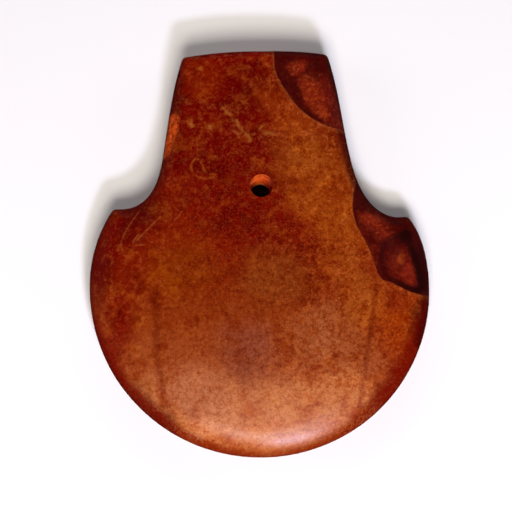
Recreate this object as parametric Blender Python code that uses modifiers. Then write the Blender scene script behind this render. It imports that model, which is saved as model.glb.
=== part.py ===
"""A perforated stone spud, or spatulate celt, lying on its back.

It is one piece of ground and polished stone: a thick tapering poll that runs into a wide, thin,
nearly round blade, with a horn at each shoulder and one drilled hole in the neck. Old flake scars
break its face at the butt's corner, on one shoulder and along the poll's other side.

Metres, +Z up out of the face, +Y from the blade towards the poll. The outline is drawn with its zero
at the blade's centre and the stone's middle plane. The part's origin is the middle of its bounding
box, on the surface it lies on, and an empty carries the drawing's zero to it.

Run it with: blender --background --python part.py
"""

import math

import bmesh
import bpy
import numpy as np
from mathutils import Vector
from mathutils.geometry import interpolate_bezier

MM = 0.001

# ---- driving dimensions ----------------------------------------------------------------------
BLADE_RADIUS = 63.2 * MM  # the blade is a circle from flank to flank
PARED_RADIUS = 62.7 * MM  # to the right flank, where the shoulder's flake took a little of the rim
BUTT_REACH = 88.8 * MM  # from the blade's centre to the butt

NECK_THICKNESS = 20.4 * MM  # the thickest place, beside the hole
BUTT_THINNING = 0.30  # share of the thickness lost from the neck to the butt
BLADE_THINNING = 0.62  # share lost from the middle to the blade's rim
BLADE_THINNING_POWER = 2.3  # over 2, so the middle stays flatter than a sphere would

# How far in from the outline the edges are ground round.
BIT_ROUNDING = 9.0 * MM
FLANK_ROUNDING = 12.0 * MM  # half way between the bit and the flanks
NECK_ROUNDING = 6.5 * MM
BUTT_ROUNDING = 3.6 * MM

REST_FLAT_DEPTH = 0.45 * MM  # ground off the back, which gives the flat it lies on

HOLE_X = 0.4 * MM
HOLE_Y = 36.1 * MM
HOLE_MOUTH_RADIUS = 4.35 * MM
HOLE_WAIST_RADIUS = 3.95 * MM
HOLE_WORN_RADIUS = 4.75 * MM  # where the worn lip meets the face
HOLE_LIP_DEPTH = 0.7 * MM

CORNER_WEAR = 1.1 * MM  # half the length over which a corner of the outline is worn round
DRAWN_STEP = 0.2 * MM
POINT_SPACING = 4.8 * MM  # along the outline, where it runs straight
POINT_TURN = math.radians(15)  # and the turning that takes one more point

# Each ring's share of the way from the blade's centre to the rim, rim first.
RING_SHARES = (1.0, 0.9972, 0.989, 0.975, 0.953, 0.922, 0.88, 0.82, 0.74, 0.62, 0.46, 0.26)

R = BLADE_RADIUS / MM
QUARTER_HANDLE = 4.0 / 3.0 * math.tan(math.pi / 8.0) * R  # draws a quarter of a circle

# The outline's knots, in mm from the blade's centre, counter-clockwise: the point, then its
# handles towards the knot before and the knot after, as offsets from it.
OUTLINE_KNOTS = (
    ("bit", (0.0, -R), (-QUARTER_HANDLE, 0.0), (QUARTER_HANDLE, 0.0)),
    ("right flank", (PARED_RADIUS / MM, 0.0), (0.6, -35.4), (-0.2, 8.2)),
    ("right horn", (55.0, 26.1), (6.2, -7.3), (-1.0, 0.3)),
    ("right cove", (51.0, 25.9), (1.2, -0.1), (-9.3, 0.65)),
    ("right neck", (34.7, 44.2), (2.0, -7.5), (-3.6, 13.4)),
    ("butt's right corner", (25.3, 87.4), (4.6, -13.4), (-8.6, 1.6)),
    ("butt's crown", (-1.0, BUTT_REACH / MM), (8.8, 0.1), (-9.1, -0.1)),
    ("butt's left corner", (-29.2, 86.3), (9.1, 1.8), (-3.8, -11.9)),
    ("left neck", (-36.4, 48.2), (1.8, 13.1), (-1.4, -10.0)),
    ("left cove", (-51.9, 28.8), (10.3, -0.1), (-0.5, 0.0)),
    ("left horn", (-54.8, 28.7), (0.8, 0.2), (-6.1, -9.5)),
    ("left flank", (-R, 0.0), (0.0, 9.8), (0.0, -QUARTER_HANDLE)),
)

# Each flake scar is a shallow elliptical bowl: name, its lowest point from the blade's centre and
# the middle plane, its half length and half width 1 mm above that point, the turn of its length
# from +X, and how far it leans over towards -X. In mm and degrees.
FLAKE_SCARS = (
    ("butt_corner_flake", (40.0, 89.9, 4.0), (23.8, 16.6), 144.0, 0.0),
    ("shoulder_flake", (68.4, 60.0, 1.25), (44.7, 14.5), 98.0, 0.0),
    ("shoulder_bruise", (66.0, 7.4, 2.8), (14.8, 9.7), 122.0, 0.0),
    ("poll_side_flake", (-31.4, 56.2, 5.9), (5.5, 5.5), 0.0, -45.0),
)
BOWL_HEIGHT = 10.0 * MM
BOWL_STEPS = 10
TURNED_STEPS = 48


# ---- the outline -----------------------------------------------------------------------------
def drawn_outline():
    """The outline as fine, even steps along its Bezier curve."""
    points = []
    for index, (_, start, _, leaving) in enumerate(OUTLINE_KNOTS):
        _, end, arriving, _ = OUTLINE_KNOTS[(index + 1) % len(OUTLINE_KNOTS)]
        start, end = Vector(start), Vector(end)
        controls = (start, start + Vector(leaving), end + Vector(arriving), end)
        controls = [control.to_3d() * MM for control in controls]
        steps = max(3, round(2.0 * (controls[3] - controls[0]).length / DRAWN_STEP))
        points += interpolate_bezier(*controls, steps)[:-1]
    return even_steps(np.array([point.xy for point in points]), DRAWN_STEP)


def even_steps(points, step):
    """A closed line's points, moved along it until they lie a step apart."""
    closed = np.vstack([points, points[:1]])
    run = np.concatenate([[0.0], np.cumsum(np.linalg.norm(np.diff(closed, axis=0), axis=1))])
    wanted = np.linspace(0.0, run[-1], round(run[-1] / step), endpoint=False)
    return np.column_stack([np.interp(wanted, run, closed[:, axis]) for axis in (0, 1)])


def worn_outline():
    """The outline with its corners worn round: each point is the mean of its close neighbours."""
    drawn = drawn_outline()
    reach = round(CORNER_WEAR / DRAWN_STEP)
    return np.mean([np.roll(drawn, shift, axis=0) for shift in range(-reach, reach + 1)], axis=0)


def outline_points():
    """A few well-placed points of the worn outline, closer together where it turns."""
    worn = worn_outline()
    along = np.roll(worn, -1, axis=0) - worn
    heading = np.arctan2(along[:, 1], along[:, 0])
    turn = np.abs((np.roll(heading, -1) - heading + math.pi) % (2 * math.pi) - math.pi)
    spend = np.linalg.norm(along, axis=1) / POINT_SPACING + turn / POINT_TURN
    spent = np.concatenate([[0.0], np.cumsum(spend)])
    wanted = np.linspace(0.0, spent[-1], round(spent[-1]), endpoint=False)
    closed = np.vstack([worn, worn[:1]])
    return np.column_stack([np.interp(wanted, spent, closed[:, axis]) for axis in (0, 1)])


def distance_to_outline(point, outline):
    """How far a point in the plan lies inside the outline."""
    starts = outline
    spans = np.roll(outline, -1, axis=0) - starts
    offset = np.asarray(point) - starts
    share = np.clip((offset * spans).sum(axis=1) / (spans * spans).sum(axis=1), 0.0, 1.0)
    return float(np.linalg.norm(offset - share[:, None] * spans, axis=1).min())


# ---- the form --------------------------------------------------------------------------------
def ease(low, high, value):
    """0 up to low, 1 from high, and a smooth rise between them."""
    share = min(max((value - low) / (high - low), 0.0), 1.0)
    return share * share * (3.0 - 2.0 * share)


def crown_height(x, y):
    """Half the thickness before the edges are ground round: a flat bar in the poll, a lens in the blade."""
    towards_rim = math.hypot(x, min(y, 0.0)) / BLADE_RADIUS
    blade = 1.0 - BLADE_THINNING * towards_rim**BLADE_THINNING_POWER
    butt = 1.0 - BUTT_THINNING * ease(30 * MM, 100 * MM, y)
    return 0.5 * NECK_THICKNESS * blade * butt


def edge_width(x, y):
    """How far in from the outline the edge is ground round: widest low on the blade's flanks."""
    from_bit = math.atan2(abs(x), max(-y, 0.0))
    blade = BIT_ROUNDING + (FLANK_ROUNDING - BIT_ROUNDING) * math.sin(2.0 * from_bit)
    poll = NECK_ROUNDING + (BUTT_ROUNDING - NECK_ROUNDING) * ease(60 * MM, 84 * MM, y)
    return blade + (poll - blade) * ease(0.0, 34 * MM, y)


def half_thickness(x, y, inside):
    """The face's height over the middle plane, `inside` metres in from the outline."""
    share = min(inside / edge_width(x, y), 1.0)
    return crown_height(x, y) * math.sqrt(max(1.0 - (1.0 - share) ** 2, 0.0))


# ---- building --------------------------------------------------------------------------------
def clear_scene():
    for obj in list(bpy.data.objects):
        bpy.data.objects.remove(obj, do_unlink=True)


def new_collection(name):
    collection = bpy.data.collections.new(name)
    bpy.context.scene.collection.children.link(collection)
    return collection


def mesh_object(name, bm, collection, parent):
    mesh = bpy.data.meshes.new(name)
    bm.to_mesh(mesh)
    bm.free()
    obj = bpy.data.objects.new(name, mesh)
    collection.objects.link(obj)
    obj.parent = parent
    return obj


def as_cutter(obj):
    obj.hide_render = True
    obj.display_type = "WIRE"
    return obj


def cut(body, cutter):
    modifier = body.modifiers.new(cutter.name, "BOOLEAN")
    modifier.operation = "DIFFERENCE"
    modifier.solver = "EXACT"
    modifier.object = cutter


def place_ring(verts, outline, share):
    """Puts one ring of the face in place: the outline shrunk towards the blade's centre."""
    for vert, (x, y) in zip(verts, outline * share):
        inside = distance_to_outline((x, y), outline) if share < 1.0 else 0.0
        vert.co = (x, y, half_thickness(x, y, inside))


def next_ring(bm, ring):
    """Extrudes a ring's edges, and gives the new points in the old ones' order."""
    edges = [edge for edge in bm.edges if edge.verts[0] in ring and edge.verts[1] in ring]
    grown = bmesh.ops.extrude_edge_only(bm, edges=edges)["geom"]
    new = {item for item in grown if isinstance(item, bmesh.types.BMVert)}
    links = [[edge.other_vert(vert) for edge in vert.link_edges] for vert in ring]
    return [next(other for other in others if other in new) for others in links]


def face_half(collection, parent):
    """The front half of the stone: rings drawn in from the rim, closed at the blade's centre.
    A Mirror across the middle plane gives the back."""
    outline = outline_points()
    bm = bmesh.new()
    circle = {"segments": len(outline), "radius": BLADE_RADIUS, "cap_ends": False}
    ring = bmesh.ops.create_circle(bm, **circle)["verts"]
    place_ring(ring, outline, RING_SHARES[0])
    for share in RING_SHARES[1:]:
        ring = next_ring(bm, ring)
        place_ring(ring, outline, share)
    centre = Vector((0.0, 0.0, half_thickness(0.0, 0.0, BLADE_RADIUS)))
    bmesh.ops.pointmerge(bm, verts=next_ring(bm, ring), merge_co=centre)
    bmesh.ops.recalc_face_normals(bm, faces=bm.faces)
    if sum(face.normal.z for face in bm.faces) < 0.0:
        bmesh.ops.reverse_faces(bm, faces=bm.faces)
    body = mesh_object("stone_spud", bm, collection, parent)
    mirror = body.modifiers.new("back", "MIRROR")
    mirror.use_axis = (False, False, True)
    mirror.merge_threshold = 0.00001
    return body


def turned_cutter(name, profile, halves, collection, parent):
    """A closed body turned from a profile of (radius, height), then stretched to its half axes."""
    bm = bmesh.new()
    line = [bm.verts.new((radius, 0.0, height)) for radius, height in profile]
    edges = [bm.edges.new(pair) for pair in zip(line, line[1:])]
    turn = {"cent": (0.0, 0.0, 0.0), "axis": (0.0, 0.0, 1.0), "angle": 2.0 * math.pi}
    bmesh.ops.spin(bm, geom=line + edges, steps=TURNED_STEPS, use_merge=True, **turn)
    bmesh.ops.remove_doubles(bm, verts=bm.verts, dist=0.00001)
    bmesh.ops.scale(bm, verts=bm.verts, vec=(*halves, 1.0))
    bmesh.ops.recalc_face_normals(bm, faces=bm.faces)
    return as_cutter(mesh_object(name, bm, collection, parent))


def hole_cutter(collection, parent):
    """The drilled hole: nearly straight, tightest a little past the middle, its lips worn round."""
    face = crown_height(HOLE_X, HOLE_Y)
    beyond = 3 * MM
    profile = (
        (0.0, face + beyond),
        (HOLE_WORN_RADIUS, face + beyond),
        (HOLE_WORN_RADIUS, face),
        (HOLE_MOUTH_RADIUS, face - HOLE_LIP_DEPTH),
        (HOLE_WAIST_RADIUS, -0.3 * face),
        (HOLE_MOUTH_RADIUS, HOLE_LIP_DEPTH - face),
        (HOLE_WORN_RADIUS, -face),
        (HOLE_WORN_RADIUS, -face - beyond),
        (0.0, -face - beyond),
    )
    cutter = turned_cutter("drilled_hole", profile, (1.0, 1.0), collection, parent)
    cutter.location = (HOLE_X, HOLE_Y, 0.0)
    return cutter


def scar_cutter(name, lowest, halves, turn, lean, collection, parent):
    """A bowl that bites into the face. The farther up it, the wider it is, as a dish is."""
    widest = math.sqrt(BOWL_HEIGHT / MM)
    radii = [widest * step / BOWL_STEPS for step in range(BOWL_STEPS + 1)]
    profile = [(radius, radius * radius * MM) for radius in radii] + [(0.0, BOWL_HEIGHT)]
    cutter = turned_cutter(name, profile, [half * MM for half in halves], collection, parent)
    cutter.rotation_euler = (0.0, math.radians(lean), math.radians(turn))
    cutter.location = Vector(lowest) * MM
    return cutter


def rest_cutter(collection, parent):
    """A block under the back: it grinds off the flat that the stone lies on."""
    deep = 20 * MM
    wide = 2.5 * BLADE_RADIUS
    bm = bmesh.new()
    bmesh.ops.create_cube(bm, size=1.0)
    bmesh.ops.scale(bm, verts=bm.verts, vec=(wide, wide, deep))
    cutter = as_cutter(mesh_object("rest_flat", bm, collection, parent))
    cutter.location = (0.0, 0.0, REST_FLAT_DEPTH - 0.5 * NECK_THICKNESS - 0.5 * deep)
    return cutter


def polished_stone():
    material = bpy.data.materials.new("polished_red_stone")
    material.use_nodes = True
    shader = material.node_tree.nodes["Principled BSDF"]
    shader.inputs["Base Color"].default_value = (0.21, 0.032, 0.007, 1.0)
    shader.inputs["Roughness"].default_value = 0.38
    shader.inputs["Metallic"].default_value = 0.0
    return material


def main():
    clear_scene()
    stone = new_collection("stone_spud")
    cutters = new_collection("cutters")

    outline = worn_outline()
    low, high = outline.min(axis=0), outline.max(axis=0)
    zero = bpy.data.objects.new("blade_centre", None)
    stone.objects.link(zero)
    middle = 0.5 * (low + high)
    zero.location = (-middle[0], -middle[1], 0.5 * NECK_THICKNESS - REST_FLAT_DEPTH)

    spud = face_half(stone, zero)
    cut(spud, rest_cutter(cutters, zero))
    for scar in FLAKE_SCARS:
        cut(spud, scar_cutter(*scar, cutters, zero))
    cut(spud, hole_cutter(cutters, zero))
    spud.data.materials.append(polished_stone())
    spud.data.shade_smooth()


main()
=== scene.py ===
# %% [markdown]
# # A polished stone spud
#
# A spud, or spatulate celt, is one piece of hard stone that was pecked and flaked to shape, ground
# on a wet slab, drilled, and rubbed to a satin polish. Its poll is a thick flat bar. Its blade is a
# thin, nearly round disc that swells gently to the middle, with a small horn at each shoulder.
#
# This lesson makes it from one circle: the circle becomes the outline, the outline becomes a cage,
# and the cage is cut, remeshed and given its skin. The measured model comes first, because every
# place below is measured from it.

# %% The measured model
import math

import bpy
import numpy as np
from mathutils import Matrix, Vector
from mathutils.geometry import interpolate_bezier


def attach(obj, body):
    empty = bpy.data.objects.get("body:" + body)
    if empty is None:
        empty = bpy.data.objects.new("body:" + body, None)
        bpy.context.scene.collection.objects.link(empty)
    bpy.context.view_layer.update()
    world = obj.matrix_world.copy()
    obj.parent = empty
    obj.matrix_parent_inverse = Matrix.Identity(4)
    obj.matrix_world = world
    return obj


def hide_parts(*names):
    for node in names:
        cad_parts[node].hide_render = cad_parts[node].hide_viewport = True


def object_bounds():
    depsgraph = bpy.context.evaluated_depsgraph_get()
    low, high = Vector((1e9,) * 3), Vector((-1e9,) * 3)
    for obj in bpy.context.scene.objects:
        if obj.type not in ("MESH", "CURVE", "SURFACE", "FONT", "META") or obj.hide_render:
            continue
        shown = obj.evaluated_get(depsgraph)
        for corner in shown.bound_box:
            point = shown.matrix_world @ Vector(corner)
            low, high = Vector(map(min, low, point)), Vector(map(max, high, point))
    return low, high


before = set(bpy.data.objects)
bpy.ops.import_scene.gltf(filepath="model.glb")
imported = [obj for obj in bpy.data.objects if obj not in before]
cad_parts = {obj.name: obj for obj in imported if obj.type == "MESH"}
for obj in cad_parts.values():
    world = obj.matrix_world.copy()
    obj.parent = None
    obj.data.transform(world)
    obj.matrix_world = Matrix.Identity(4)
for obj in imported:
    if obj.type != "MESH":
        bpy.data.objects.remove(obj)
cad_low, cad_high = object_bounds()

MM = 0.001
BLADE_RADIUS = 63.2 * MM
NECK_HALF = 10.2 * MM  # half the thickness beside the hole

blade = Vector((cad_low.x + BLADE_RADIUS, cad_low.y + BLADE_RADIUS, cad_high.z - NECK_HALF))
size = cad_high - cad_low
print(f"measured model: {size.x / MM:.1f} x {size.y / MM:.1f} x {size.z / MM:.1f} mm")
print("blade's centre, mm:", [round(value / MM, 2) for value in blade])

# %% [markdown]
# ## Camera and lights
#
# The stone lies on its back and the camera looks down on it, leaning 8 degrees towards the bit. A
# long lens keeps the outline free of perspective.
#
# A polished stone shows what it reflects, so the lights decide its colour as much as the stone
# does. A soft box leans over the bit and leaves the blade's sheen there, and a small one behind it
# gives the sheen its bright middle. Three wide fills wash the sides and the butt. They aren't
# mirrored in the stone, and neither is the floor, because a dark polished stone would show them as
# a grey veil over its red. A bright sky would do the same, so the sky is nearly black.

# %% Camera
VIEW_ELEVATION = math.radians(82.0)
VIEW_DISTANCE = 0.70  # m
VIEW_WIDTH = 0.19  # m, seen across the frame at the stone
SENSOR = 36.0  # mm, the width of the camera's film
AIM = (-1.54, 11.32, 0.0)  # mm from the blade's centre to the middle of what is seen

aim = blade + Vector(AIM) * MM
away = Vector((0.0, -math.cos(VIEW_ELEVATION), math.sin(VIEW_ELEVATION)))

bpy.ops.object.select_all(action="DESELECT")
bpy.ops.object.camera_add(location=aim + away * VIEW_DISTANCE)
camera = bpy.context.object
camera.rotation_euler = away.to_track_quat("Z", "Y").to_euler()
camera.data.sensor_width = SENSOR
camera.data.lens = SENSOR * VIEW_DISTANCE / VIEW_WIDTH
bpy.context.scene.camera = camera
print(f"camera: {camera.data.lens:.0f} mm lens, {VIEW_DISTANCE:.2f} m away")


# %% Soft boxes
def linear(colour):
    """A hex colour, as a screen shows it, in the linear values that a shader works with."""
    parts = [int(colour[index:index + 2], 16) / 255 for index in (1, 3, 5)]
    return [part / 12.92 if part <= 0.04045 else ((part + 0.055) / 1.055) ** 2.4 for part in parts] + [1.0]


def soft_box(name, towards, tilt, distance, width, height, watts, colour, mirrored):
    """A flat light turned to the blade, `tilt` degrees from straight above and `towards` that side."""
    side = math.radians(towards)
    lean = math.radians(tilt)
    direction = Vector((math.sin(lean) * math.cos(side), math.sin(lean) * math.sin(side), math.cos(lean)))
    bpy.ops.object.light_add(type="AREA", location=blade + direction * distance)
    light = bpy.context.object
    light.name = name
    light.rotation_euler = direction.to_track_quat("Z", "Y").to_euler()
    light.data.shape = "RECTANGLE"
    light.data.size = width
    light.data.size_y = height
    light.data.energy = watts
    light.data.color = linear(colour)[:3]
    light.visible_glossy = mirrored


# name, side it stands on and tilt in degrees, distance, width and height in m, watts, colour, mirrored
LIGHTS = (
    ("key_over_bit", -86.0, 33.0, 1.1, 0.50, 0.36, 10.0, "#fff6ee", True),
    ("glint", -74.0, 48.0, 1.2, 0.20, 0.10, 9.0, "#dce0ff", True),
    ("fill_left", 172.0, 68.0, 1.3, 0.9, 0.8, 3.6, "#fff8f2", False),
    ("fill_right", 20.0, 74.0, 1.4, 0.9, 0.8, 3.0, "#fff8f2", False),
    ("fill_butt", 92.0, 76.0, 1.4, 1.4, 0.7, 12.0, "#f6f7ff", False),
)
for light in LIGHTS:
    soft_box(*light)
print(f"lights: {', '.join(light[0] for light in LIGHTS)}")

# %% Sky and floor
SKY = {"Color": linear("#ffffff"), "Strength": 0.01}
PAPER = {"Base Color": linear("#f4f3f1"), "Roughness": 0.9, "Specular IOR Level": 0.1}
FLOOR_WIDTH = 6.0  # m
FLOOR_GAP = 0.05 * MM  # the floor lies just under the stone, so that they never share a face

world = bpy.data.worlds.new("dim_room")
world.use_nodes = True
for name, value in SKY.items():
    world.node_tree.nodes["Background"].inputs[name].default_value = value
bpy.context.scene.world = world
bpy.context.scene.view_settings.view_transform = "Standard"

bpy.ops.object.select_all(action="DESELECT")
bpy.ops.mesh.primitive_plane_add(size=FLOOR_WIDTH, location=(0.0, 0.0, cad_low.z - FLOOR_GAP))
floor = bpy.context.object
floor.name = "floor"
paper = bpy.data.materials.new("matt_white_paper")
paper.use_nodes = True
for name, value in PAPER.items():
    paper.node_tree.nodes["Principled BSDF"].inputs[name].default_value = value
floor.data.materials.append(paper)
floor.visible_glossy = False
print(f"floor: matt white paper, {FLOOR_WIDTH:.0f} m wide")

# %% [markdown]
# ## The outline
#
# Seen from above, the spud is a round blade under a flared poll, with a cove and a small horn at each
# shoulder. The plan is drawn with twelve Bezier knots, one for each place where the maker's stroke
# changed: the bit and the two flanks carry the round, and nine more turn at the horns, the coves,
# the neck and the butt. A chain of short lines would take hundreds of points and still look
# faceted. A corner of hard stone is never quite sharp, so each point is then replaced by the mean
# of its neighbours over a millimetre to each side.

# %% Outline
R = BLADE_RADIUS / MM
QUARTER_HANDLE = 4.0 / 3.0 * math.tan(math.pi / 8.0) * R  # draws a quarter of a circle
# Name, knot, handle towards the knot before, handle towards the knot after, in mm. The knots were
# chosen first, but these numbers weren't: a least-squares program fitted them to the real outline,
# and they were rounded to about 0.1 mm.
KNOTS = (
    ("bit", (0.0, -R), (-QUARTER_HANDLE, 0.0), (QUARTER_HANDLE, 0.0)),
    ("right flank", (62.7, 0.0), (0.6, -35.4), (-0.2, 8.2)),
    ("right horn", (55.0, 26.1), (6.2, -7.3), (-1.0, 0.3)),
    ("right cove", (51.0, 25.9), (1.2, -0.1), (-9.3, 0.65)),
    ("right neck", (34.7, 44.2), (2.0, -7.5), (-3.6, 13.4)),
    ("butt's right corner", (25.3, 87.4), (4.6, -13.4), (-8.6, 1.6)),
    ("butt's crown", (-1.0, 88.8), (8.8, 0.1), (-9.1, -0.1)),
    ("butt's left corner", (-29.2, 86.3), (9.1, 1.8), (-3.8, -11.9)),
    ("left neck", (-36.4, 48.2), (1.8, 13.1), (-1.4, -10.0)),
    ("left cove", (-51.9, 28.8), (10.3, -0.1), (-0.5, 0.0)),
    ("left horn", (-54.8, 28.7), (0.8, 0.2), (-6.1, -9.5)),
    ("left flank", (-R, 0.0), (0.0, 9.8), (0.0, -QUARTER_HANDLE)),
)
DRAWN_STEP = 0.1  # mm
CORNER_WEAR = 1.1  # mm to each side


def drawn_outline():
    """The knots' curve in even steps, with its corners worn, as an array of x, y in mm."""
    points = []
    for index, (_, start, _, leaving) in enumerate(KNOTS):
        _, end, arriving, _ = KNOTS[(index + 1) % len(KNOTS)]
        start, end = Vector(start), Vector(end)
        controls = (start, start + Vector(leaving), end + Vector(arriving), end)
        steps = max(3, round((end - start).length / (0.5 * DRAWN_STEP)))
        points += interpolate_bezier(*[control.to_3d() for control in controls], steps)[:-1]
    points = np.array([point.xy for point in points])
    closed = np.vstack([points, points[:1]])
    run = np.concatenate([[0.0], np.cumsum(np.linalg.norm(np.diff(closed, axis=0), axis=1))])
    wanted = np.linspace(0.0, run[-1], round(run[-1] / DRAWN_STEP), endpoint=False)
    even = np.column_stack([np.interp(wanted, run, closed[:, axis]) for axis in (0, 1)])
    reach = round(CORNER_WEAR / DRAWN_STEP)
    return np.mean([np.roll(even, shift, axis=0) for shift in range(-reach, reach + 1)], axis=0)


outline = drawn_outline()
print(f"outline: {len(outline)} steps round, {np.ptp(outline[:, 0]):.1f} x {np.ptp(outline[:, 1]):.1f} mm")

# %% [markdown]
# ## The form
#
# In section the stone is a lens. It is 20 mm thick at the neck and thinner at the butt, and the blade
# was ground away evenly from its middle towards the bit. At the rim the face rolls over to the side,
# broadly on the flanks and tightly at the butt. Sculpting could give this, but a formula is easier
# to correct and gives the same face each time: a crown says how thick the stone is at each place,
# and a quarter of an ellipse takes the face down over the last millimetres before the rim.

# %% Height of the face
BUTT_THINNING = 0.30  # the share of the thickness that the poll loses over its whole run, below
BLADE_THINNING = 0.62  # the share that the blade loses at its rim
BLADE_THINNING_POWER = 2.3  # the higher, the later the blade thins towards its rim
BIT_ROUNDING, FLANK_ROUNDING, NECK_ROUNDING, BUTT_ROUNDING = 9.0, 12.0, 6.5, 3.6  # mm
# from where to where the poll thins, and one rounding passes into the next, in mm towards the butt
POLL_THINS, BLADE_TO_NECK, NECK_TO_BUTT = (30.0, 100.0), (0.0, 34.0), (60.0, 84.0)


def ease(low, high, value):
    """0 up to low, 1 from high, and a smooth rise between them."""
    share = np.clip((value - low) / (high - low), 0.0, 1.0)
    return share * share * (3.0 - 2.0 * share)


def inside_outline(x, y):
    """How far in from the outline each point of the plan lies, in mm."""
    nearest = np.full(len(x), np.inf)
    for px, py in outline:
        nearest = np.minimum(nearest, (x - px) ** 2 + (y - py) ** 2)
    return np.sqrt(nearest)


def face_height(x, y):
    """The polished face's height over the middle plane, in mm."""
    towards_rim = np.hypot(x, np.minimum(y, 0.0)) / R
    lens = 1.0 - BLADE_THINNING * towards_rim**BLADE_THINNING_POWER
    crown = NECK_HALF / MM * lens * (1.0 - BUTT_THINNING * ease(*POLL_THINS, y))
    from_bit = np.arctan2(np.abs(x), np.maximum(-y, 0.0))
    rounding = BIT_ROUNDING + (FLANK_ROUNDING - BIT_ROUNDING) * np.sin(2.0 * from_bit)
    poll = NECK_ROUNDING + (BUTT_ROUNDING - NECK_ROUNDING) * ease(*NECK_TO_BUTT, y)
    rounding = rounding + (poll - rounding) * ease(*BLADE_TO_NECK, y)
    share = np.clip(inside_outline(x, y) / rounding, 0.0, 1.0)
    return crown * np.sqrt(np.maximum(1.0 - (1.0 - share) ** 2, 0.0))


places = np.array([-50.0, 0.0, 80.0])  # mm towards the butt
heights = face_height(np.zeros(len(places)), places)
print("height over the middle plane at the bit, the blade and the butt, mm:", np.round(heights, 1))

# %% [markdown]
# ## The cage
#
# The mesh starts as one circle with as many points as the outline needs. They are moved out to the
# outline, and the circle is extruded and shrunk ring by ring towards the blade's centre until it
# closes there. Every ring repeats the outline, so the faces run along the rounding at the rim, which
# a square grid cut to shape wouldn't do. The rings crowd towards the rim, where the face turns
# fastest. Then the points are lifted to the face's height, and a Mirror modifier makes the back,
# so that both faces meet in the middle plane without a seam.

# %% Cage
POINT_SPACING = 1.3  # mm between the cage's points along a straight outline
POINT_TURN = math.radians(6.0)  # the turning that takes one more point
RINGS = 36
CROWDING = 1.7  # over 1, so that the rings crowd towards the rim


def cage_points():
    """The outline's points for the cage, closer together where it turns."""
    along = np.roll(outline, -1, axis=0) - outline
    heading = np.arctan2(along[:, 1], along[:, 0])
    turn = np.abs((np.roll(heading, -1) - heading + math.pi) % (2.0 * math.pi) - math.pi)
    spent = np.cumsum(np.linalg.norm(along, axis=1) / POINT_SPACING + turn / POINT_TURN)
    spent = np.concatenate([[0.0], spent])
    wanted = np.linspace(0.0, spent[-1], round(spent[-1]), endpoint=False)
    closed = np.vstack([outline, outline[:1]])
    return np.column_stack([np.interp(wanted, spent, closed[:, axis]) for axis in (0, 1)])


def coordinates(piece):
    """A piece's points, from the blade's centre and in mm."""
    points = np.empty(len(piece.data.vertices) * 3, np.float32)
    piece.data.vertices.foreach_get("co", points)
    return (points.reshape(-1, 3).astype(float) - np.array(blade)) / MM


def move_points(piece, points):
    """Moves a piece's points to places given from the blade's centre in mm."""
    piece.data.vertices.foreach_set("co", (points * MM + np.array(blade)).astype(np.float32).ravel())
    piece.data.update()


def pick(piece):
    """Makes one piece the active one, and the only one that is selected."""
    bpy.ops.object.select_all(action="DESELECT")
    piece.select_set(True)
    bpy.context.view_layer.objects.active = piece


def edit(piece):
    """Goes into edit mode on one piece with all of it selected."""
    pick(piece)
    bpy.ops.object.mode_set(mode="EDIT")
    bpy.ops.mesh.select_all(action="SELECT")


ring = cage_points()
bpy.ops.object.select_all(action="DESELECT")
bpy.ops.mesh.primitive_circle_add(vertices=len(ring), radius=BLADE_RADIUS)
stone = bpy.context.object
stone.name = "polished_spud"
move_points(stone, np.column_stack([ring, np.zeros(len(ring))]))

shares = [1.0 - (step / RINGS) ** CROWDING for step in range(RINGS)]
edit(stone)
for outer, inner in zip(shares, shares[1:]):
    bpy.ops.mesh.extrude_region_move()
    bpy.ops.transform.resize(value=(inner / outer,) * 3, center_override=blade)
bpy.ops.mesh.extrude_region_move()
bpy.ops.mesh.merge(type="CENTER")
bpy.ops.object.mode_set(mode="OBJECT")

points = coordinates(stone)
points[:, 2] = face_height(points[:, 0], points[:, 1])
points[:len(ring), 2] = 0.0
move_points(stone, points)
print(f"cage: {len(stone.data.vertices)} points in {RINGS} rings of {len(ring)}")

# %% Both faces
MERGED = 0.01 * MM  # points of the two halves that are nearer than this become one


def leave_outwards():
    """Turns the faces of the piece in edit mode outwards, and goes back to object mode."""
    bpy.ops.mesh.select_all(action="SELECT")
    bpy.ops.mesh.normals_make_consistent(inside=False)
    bpy.ops.object.mode_set(mode="OBJECT")


def apply_modifiers(piece):
    """Applies every modifier of a piece, top down."""
    pick(piece)
    for name in [modifier.name for modifier in piece.modifiers]:
        bpy.ops.object.modifier_apply(modifier=name)


edit(stone)
leave_outwards()
if stone.data.polygons[-1].normal.z < 0.0:  # an open sheet has no outside, so it may be face down
    stone.data.flip_normals()
bpy.ops.object.empty_add(location=blade)
middle_plane = bpy.context.object
mirror = stone.modifiers.new("back", "MIRROR")
mirror.mirror_object = middle_plane
mirror.use_axis = (False, False, True)
mirror.merge_threshold = MERGED
apply_modifiers(stone)
bpy.data.objects.remove(middle_plane)
print(f"blank: {len(stone.data.polygons)} faces")

# %% [markdown]
# ## The flat it lies on
#
# The back is the front's mirror image, plainer, and ground flat in the middle so that the stone lies
# without rocking. The flat is cut with a plate and a Boolean modifier. Pushing the points up to one
# height would do as well, but a cut leaves the crisp border that grinding leaves.

# %% The flat it lies on
def cut(cutter):
    """Takes a closed cutter out of the stone, and throws the cutter away."""
    boolean = stone.modifiers.new(cutter.name, "BOOLEAN")
    boolean.operation = "DIFFERENCE"
    boolean.solver = "EXACT"
    boolean.object = cutter
    apply_modifiers(stone)
    bpy.data.objects.remove(cutter)


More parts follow.
